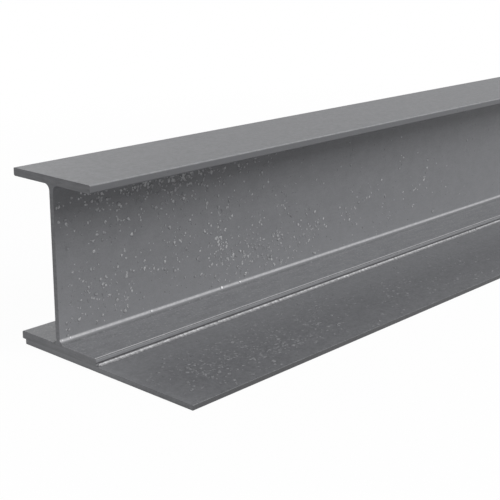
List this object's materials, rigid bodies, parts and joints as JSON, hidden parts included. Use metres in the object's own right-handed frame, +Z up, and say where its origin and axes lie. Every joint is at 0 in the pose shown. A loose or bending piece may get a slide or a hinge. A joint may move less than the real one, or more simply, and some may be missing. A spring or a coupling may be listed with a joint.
{
  "type": "steel cavity lintel",
  "caption": "Welded steel cavity lintel: a rolled I-beam on a wider flat bottom plate that projects on one side to carry the outer wall leaf.",
  "frame": {"origin": "on the plate's underside, in the middle of the lintel's length and of its overall width", "axes": "+X along the lintel, +Z up through the web, -Y towards the projecting side of the plate"},
  "size_m": [1.8, 0.286, 0.2128],
  "materials": {
    "beam_steel": "dark grey rolled steel, faintly mottled, with light specks on the web",
    "plate_steel": "dark grey plate, mottled",
    "weld_metal": "bright rippled weld bead"
  },
  "bodies": {
    "root": {"universal_beam": "beam_steel", "bottom_plate": "plate_steel", "near_weld": "weld_metal", "far_stitch_weld_1": "weld_metal", "far_stitch_weld_2": "weld_metal", "far_stitch_weld_3": "weld_metal", "far_stitch_weld_4": "weld_metal", "far_stitch_weld_5": "weld_metal", "far_stitch_weld_6": "weld_metal"}
  },
  "joints": []
}
